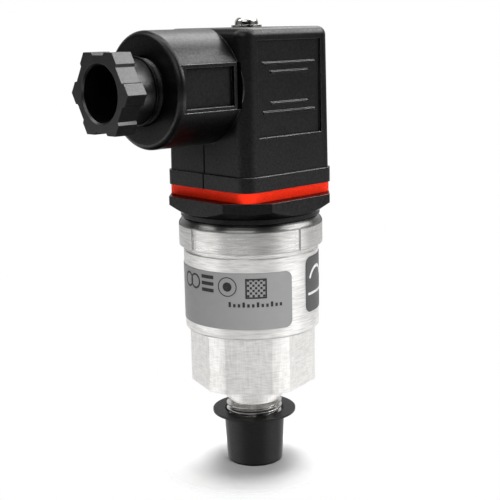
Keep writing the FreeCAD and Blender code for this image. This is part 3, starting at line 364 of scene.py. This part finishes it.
def dress_nodes(materials):
    """Give every CAD node the material of its slot, or a closer one."""
    closer = {
        # Painted edge highlight and painted corner shade in its shine, and painted shade along the
        # parting line
        "plug_housing": moulded("housing_plastic", PLUG_BLACK, 0.32, 0.02, 0.14, 0.45,
                                painted_edge_highlight=7.0, painted_parting_shade=(0.12, 0.3)),
        "gland_nut": moulded("nut_plastic", PLUG_BLACK, 0.32, 0.012, 0.12, 0.97, 5.0),
        # Painted shade on the ring's top rounding, between 37.2 and 38.1 mm
        "lock_ring": turned_steel("ring_steel", (0.92, 0.91, 0.89), 0.24, 0.36, 0.015,
                                  painted_shade_heights=(37.2, 38.1)),
        "pressure_connector": milled_steel(),
        "body_tube": turned_steel("tube_steel", (0.96, 0.95, 0.93), 0.3, 0.42, 0.012, 0.72),
    }
    for part in frame["record"]["subparts"]:
        node = frame["nodes"][part["node"]]
        chosen = closer.get(part["node"], materials[part["material_slot"]])
        for slot in node.material_slots:
            slot.material = chosen


# Pieces


def add_piece(name, vertices, faces, material, body):
    """A mesh given in millimetres, riding on a CAD body."""
    mesh = bpy.data.meshes.new(name)
    mesh.from_pydata([Vector(vertex) * MM for vertex in vertices], [], faces)
    mesh.validate()
    mesh.materials.append(material)
    piece = bpy.data.objects.new(name, mesh)
    bpy.context.scene.collection.objects.link(piece)
    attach(piece, body)
    return piece


def ridge(turns):
    """Height of a rounded V thread, from 0 at the root to 1 at the crest."""
    part = turns - math.floor(turns)
    slope = min(max((1 - abs(2 * part - 1) - ROOT_FLAT) / FLANK, 0.0), 1.0)
    return STRAIGHT * slope + (1 - STRAIGHT) * slope * slope * (3 - 2 * slope)


def thread_grid(inner, root, crest, low, high, pitch, crest_place, chamfer, land=0.0, relief=0.0,
                columns=120, rows_per_turn=18):
    """Vertices and faces of a right-hand thread on a closed sleeve round Z.

    crest_place gives a direction in degrees and a height where the crest passes.
    chamfer is the height over which the thread grows at each end, low end first.
    At the high end, land is the length of a plain collar and relief that of the neck under it.
    """
    rows = round((high - low) / pitch * rows_per_turn)
    direction, height = crest_place
    vertices = []
    for row in range(rows + 1):
        z = low + (high - low) * row / rows
        grown = min((z - low) / chamfer[0], (high - z) / chamfer[1], 1.0)
        limit = root + (crest - root) * max(grown, 0.0)
        for column in range(columns):
            angle = math.tau * column / columns
            turns = (z - height) / pitch - (angle - math.radians(direction)) / math.tau + 0.5
            share = ridge(turns)
            if z > high - land:
                share = 1.0
            elif z > high - land - relief:
                share = 0.0
            radius = min(root + (crest - root) * share, limit)
            vertices.append((radius * math.cos(angle), radius * math.sin(angle), z))
    for z in (high, low):
        for column in range(columns):
            angle = math.tau * column / columns
            vertices.append((inner * math.cos(angle), inner * math.sin(angle), z))
    faces = []
    loops = rows + 3
    for row in range(loops):
        following = (row + 1) % loops
        for column in range(columns):
            side = (column + 1) % columns
            faces.append((row * columns + column, row * columns + side,
                          following * columns + side, following * columns + column))
    return vertices, faces


def make_threads(materials):
    """Real ridges where the CAD has plain sleeves."""
    vertices, faces = thread_grid(
        inner=5.71, root=5.74, crest=6.578, low=-11.4, high=-5.1, pitch=1.337,
        crest_place=(-133.2, -5.87), chamfer=(0.8, 0.5))
    stem = add_piece(
        "stem_thread_cut", vertices, faces,
        plain_metal("thread_steel", (0.8, 0.79, 0.77), 0.16), "transmitter")
    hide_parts("stem_thread")
    vertices, faces = thread_grid(
        inner=6.76, root=6.78, crest=7.25, low=22.3, high=31.75, pitch=1.4,
        crest_place=(90.0, 31.0), chamfer=(0.5, 0.1), land=0.3, relief=1.5)
    outwards = Matrix.Translation((0, 0, GLAND_AXIS)) @ Matrix.Rotation(math.radians(-90), 4, "Y")
    nut = add_piece(
        "nut_thread_cut", [outwards @ Vector(vertex) for vertex in vertices], faces,
        materials["black_plastic"], "nut")
    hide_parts("nut_thread")
    for piece in (stem, nut):
        piece.data.shade_smooth()


class Print:
    """Ink marks on the tube, drawn in millimetres along the surface and up it."""

    def __init__(self):
        self.vertices = []
        self.faces = []

    def place(self, along, up, lift):
        angle = along / LABEL_FACE
        radius = LABEL_FACE + lift
        self.vertices.append((radius * math.cos(angle), radius * math.sin(angle), up))

    def solid(self, sections, whole=False):
        """Skin sections of four corners each; a whole ring joins its last to its first."""
        first, count = len(self.vertices), len(sections)
        for section in sections:
            for along, up, lift in section:
                self.place(along, up, lift)
        for index in range(count if whole else count - 1):
            self.join(first + 4 * index, first + 4 * ((index + 1) % count))
        if not whole:
            last = first + 4 * (count - 1)
            self.faces.append((first + 3, first + 2, first + 1, first))
            self.faces.append((last, last + 1, last + 2, last + 3))

    def join(self, one, two):
        for corner in range(4):
            side = (corner + 1) % 4
            self.faces.append((one + corner, one + side, two + side, two + corner))

    def bar(self, left, right, foot, top):
        """Bar that follows the tube from left to right."""
        steps = max(1, math.ceil(abs(right - left) / INK_STEP))
        sections = []
        for step in range(steps + 1):
            along = left + (right - left) * step / steps
            sections.append([(along, foot, 0), (along, foot, INK_THICKNESS),
                             (along, top, INK_THICKNESS), (along, top, 0)])
        self.solid(sections)

    def ring(self, along, up, radius, width, start=0.0, end=360.0):
        """Ring or arc; angles in degrees from the right, counterclockwise."""
        whole = end - start >= 360
        steps = max(6, round((end - start) / ARC_STEP))
        sections = []
        for step in range(steps if whole else steps + 1):
            angle = math.radians(start + (end - start) * step / steps)
            near, far = radius - width / 2, radius + width / 2
            corners = [(near, 0), (near, INK_THICKNESS), (far, INK_THICKNESS), (far, 0)]
            sections.append([(along + reach * math.cos(angle), up + reach * math.sin(angle), lift)
                             for reach, lift in corners])
        self.solid(sections, whole)


def along_label(degrees):
    """Millimetres round the tube for an angle from the X axis."""
    return math.radians(degrees) * LABEL_FACE


def make_label_marks():
    """Plain generic shapes where the real labels are printed."""
    ink = moulded("label_ink", (0.02, 0.02, 0.02), 0.5, 0.0, 0.01)
    grey = Print()
    # Two rings, three bars, and a ring with a dot
    for degrees in (-197.0, -187.0):
        grey.ring(along_label(degrees), 25.6, 1.55, 0.45)
    for row in range(3):
        grey.bar(along_label(-178.6), along_label(-166.0), 23.7 + 1.5 * row, 24.5 + 1.5 * row)
    grey.ring(along_label(-153.6), 25.25, 2.1, 0.22)
    grey.ring(along_label(-153.6), 25.25, 0.55, 1.0)
    # Framed chequer
    left, right, foot, top = along_label(-138.5), along_label(-121.0), 22.7, 27.2
    line, cells, clear = 0.35, 7, 0.04
    grey.bar(left, right, foot, foot + line)
    grey.bar(left, right, top - line, top)
    grey.bar(left, left + line, foot + line, top - line)
    grey.bar(right - line, right, foot + line, top - line)
    cell = (right - left - 2 * line) / cells
    for column in range(cells):
        for row in range(cells):
            if (column + row) % 2 == 0:
                start, low = left + line + cell * column, foot + line + cell * row
                grey.bar(start + clear, start + cell - clear, low + clear, low + cell - clear)
    # Row of ticks
    for tick in range(12):
        start = along_label(-152.6) + 1.05 * tick
        grey.bar(start, start + 0.55, 20.75, 21.9 if tick % 3 == 0 else 21.5)
    add_piece("grey_label_marks", grey.vertices, grey.faces, ink, "transmitter")
    # Arc over a bar
    white = Print()
    white.ring(along_label(-64.0), 24.2, 3.6, 0.7, 20.0, 160.0)
    white.bar(along_label(-79.0), along_label(-49.0), 21.6, 22.2)
    pale = moulded("label_pale_ink", (0.75, 0.75, 0.75), 0.5, 0.0, 0.01)
    add_piece("dark_label_marks", white.vertices, white.faces, pale, "transmitter")


# Stage


def make_floor():
    """Pale floor that takes the object's shadow and clears towards the white background.

    It rides on the cap, which keeps standing on it when the rest is lifted off.
    """
    mesh = bpy.data.meshes.new("floor")
    reach, height = FLOOR_REACH * MM, FLOOR_HEIGHT * MM
    sides = [(-1, -1), (1, -1), (1, 1), (-1, 1)]
    corners = [(x * reach, y * reach, height) for x, y in sides]
    mesh.from_pydata(corners, [], [(0, 1, 2, 3)])
    floor = bpy.data.objects.new("floor", mesh)
    bpy.context.scene.collection.objects.link(floor)
    graph = new_graph("floor_white")
    away = graph.vector("DISTANCE", graph.millimetres(), FADE_CENTRE)["Value"]
    fade = graph.smooth(away, FADE_START, FADE_END)
    clear = graph.add("BsdfTransparent")
    diffuse = graph.add("BsdfDiffuse", {"Color": (0.97, 0.97, 0.97, 1.0)})
    shadow = graph.add("LightPath").outputs["Is Shadow Ray"]
    passing = graph.times(graph.math("MAXIMUM", graph.shown(), shadow), fade)
    both = graph.add("MixShader", {0: passing, 1: diffuse.outputs[0], 2: clear.outputs[0]})
    graph.add("OutputMaterial", {"Surface": both.outputs[0]})
    mesh.materials.append(graph.owner)
    floor.visible_glossy = False
    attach(floor, "cap")


def direction(turn, rise):
    """Unit vector at an angle to the right of the camera, seen from the part, and a rise."""
    around, up = math.radians(CAMERA_SIDE + turn), math.radians(rise)
    return Vector((math.cos(around) * math.cos(up), math.sin(around) * math.cos(up), math.sin(up)))


def make_world():
    """Even ambient light; metal sees a white studio with darker gaps, the camera sees white."""
    world = bpy.data.worlds.new("studio")
    bpy.context.scene.world = world
    graph = Graph(world)
    way = graph.split(graph.add("TexCoord").outputs["Generated"])
    level = graph.add("CombineXYZ", {0: way[0], 1: way[1]}).outputs[0]
    level = graph.vector("NORMALIZE", level)[0]

    def step(edge):
        """Smooth step between two rises of the direction looked in."""
        return graph.smooth(way[2], *(math.sin(math.radians(rise)) for rise in edge))

    def facing(turn):
        """Cosine of the angle between the direction looked in and a turn."""
        return graph.vector("DOT_PRODUCT", level, direction(turn, 0))["Value"]

    table = graph.math("SUBTRACT", step(TABLE_EDGE), step(TABLE_FOOT))
    ceiling = graph.times(step(CEILING_EDGE), CEILING_TONE)
    tone = graph.math("ADD", graph.times(table, TABLE_TONE), ceiling)
    share = graph.math("MAXIMUM", table, HORIZON_SHARE)
    upright = graph.math("SUBTRACT", step(BACK_WALL_FOOT), step(BACK_WALL_TOP))
    back = graph.times(graph.smooth(facing(180), *BACK_WALL_SIDES), upright)
    tone = graph.math("ADD", graph.times(back, BACK_WALL_TONE), tone)
    for turn, near, far, gain in STUDIO_WALLS:
        edges = (math.cos(math.radians(angle)) for angle in (far, near))
        wall = graph.times(graph.smooth(facing(turn), *edges), share)
        tone = graph.math("ADD", graph.times(wall, gain), tone)
    glossy = graph.add("LightPath").outputs["Is Glossy Ray"]
    darker = graph.times(glossy, graph.math("SUBTRACT", tone, 1.0))
    strength = graph.math("ADD", darker, 1.0)
    seen = graph.add("Background", {"Color": WHITE, "Strength": strength})
    ambient = graph.add("Background", {"Color": WHITE, "Strength": AMBIENT})
    both = graph.add("MixShader", {0: graph.shown(), 1: ambient.outputs[0], 2: seen.outputs[0]})
    graph.add("OutputWorld", {"Surface": both.outputs[0]})


def add_lamp(name, turn, rise, distance, width, height, level, surfaces):
    """Soft box aimed at the part; sizes in millimetres, level is its brightness where 1 is white.

    surfaces tells what it lights: matt light, mirrored light or both.
    """
    lamp = bpy.data.lights.new(name, "AREA")
    lamp.shape = "RECTANGLE"
    lamp.size = width * MM
    lamp.size_y = height * MM
    lamp.energy = level * math.pi * lamp.size * lamp.size_y
    box = bpy.data.objects.new(name, lamp)
    middle = Vector((0, 0, LAMP_AIM)) * MM
    box.location = middle + direction(turn, rise) * distance * MM
    box.rotation_euler = (middle - box.location).to_track_quat("-Z", "Y").to_euler()
    box.visible_diffuse = surfaces != "shiny"
    box.visible_glossy = surfaces != "matt"
    bpy.context.scene.collection.objects.link(box)


def make_camera():
    """The photograph's camera, solved from the part's own edges."""
    azimuth, distance, height = math.radians(CAMERA_AZIMUTH), 254.321, 82.578
    pitch, roll, yaw = math.radians(11.584), math.radians(-1.180), math.radians(0.057)
    focal, image_side, sensor = 1122.486, 500, 36.0
    facing = azimuth + yaw
    place = Vector((math.sin(azimuth) * distance, -math.cos(azimuth) * distance, height)) * MM
    right = Vector((math.cos(facing), math.sin(facing), 0))
    level, drop = math.cos(pitch), math.sin(pitch)
    forward = Vector((-math.sin(facing) * level, math.cos(facing) * level, -drop))
    up = right.cross(forward)
    rolled_right = right * math.cos(roll) + up * math.sin(roll)
    rolled_up = up * math.cos(roll) - right * math.sin(roll)
    turn = Matrix((rolled_right, rolled_up, -forward)).transposed()
    lens = bpy.data.cameras.new("camera")
    lens.sensor_width = sensor
    lens.lens = focal / image_side * sensor
    lens.clip_start = 0.01
    camera = bpy.data.objects.new("camera", lens)
    camera.matrix_world = Matrix.Translation(place) @ turn.to_4x4()
    bpy.context.scene.collection.objects.link(camera)
    bpy.context.scene.camera = camera


materials = make_materials()
dress_nodes(materials)
make_threads(materials)
make_label_marks()
make_floor()
make_world()
for values in LAMPS:
    add_lamp(*values)
make_camera()
bpy.context.scene.view_settings.view_transform = "Standard"

bpy.context.view_layer.update()
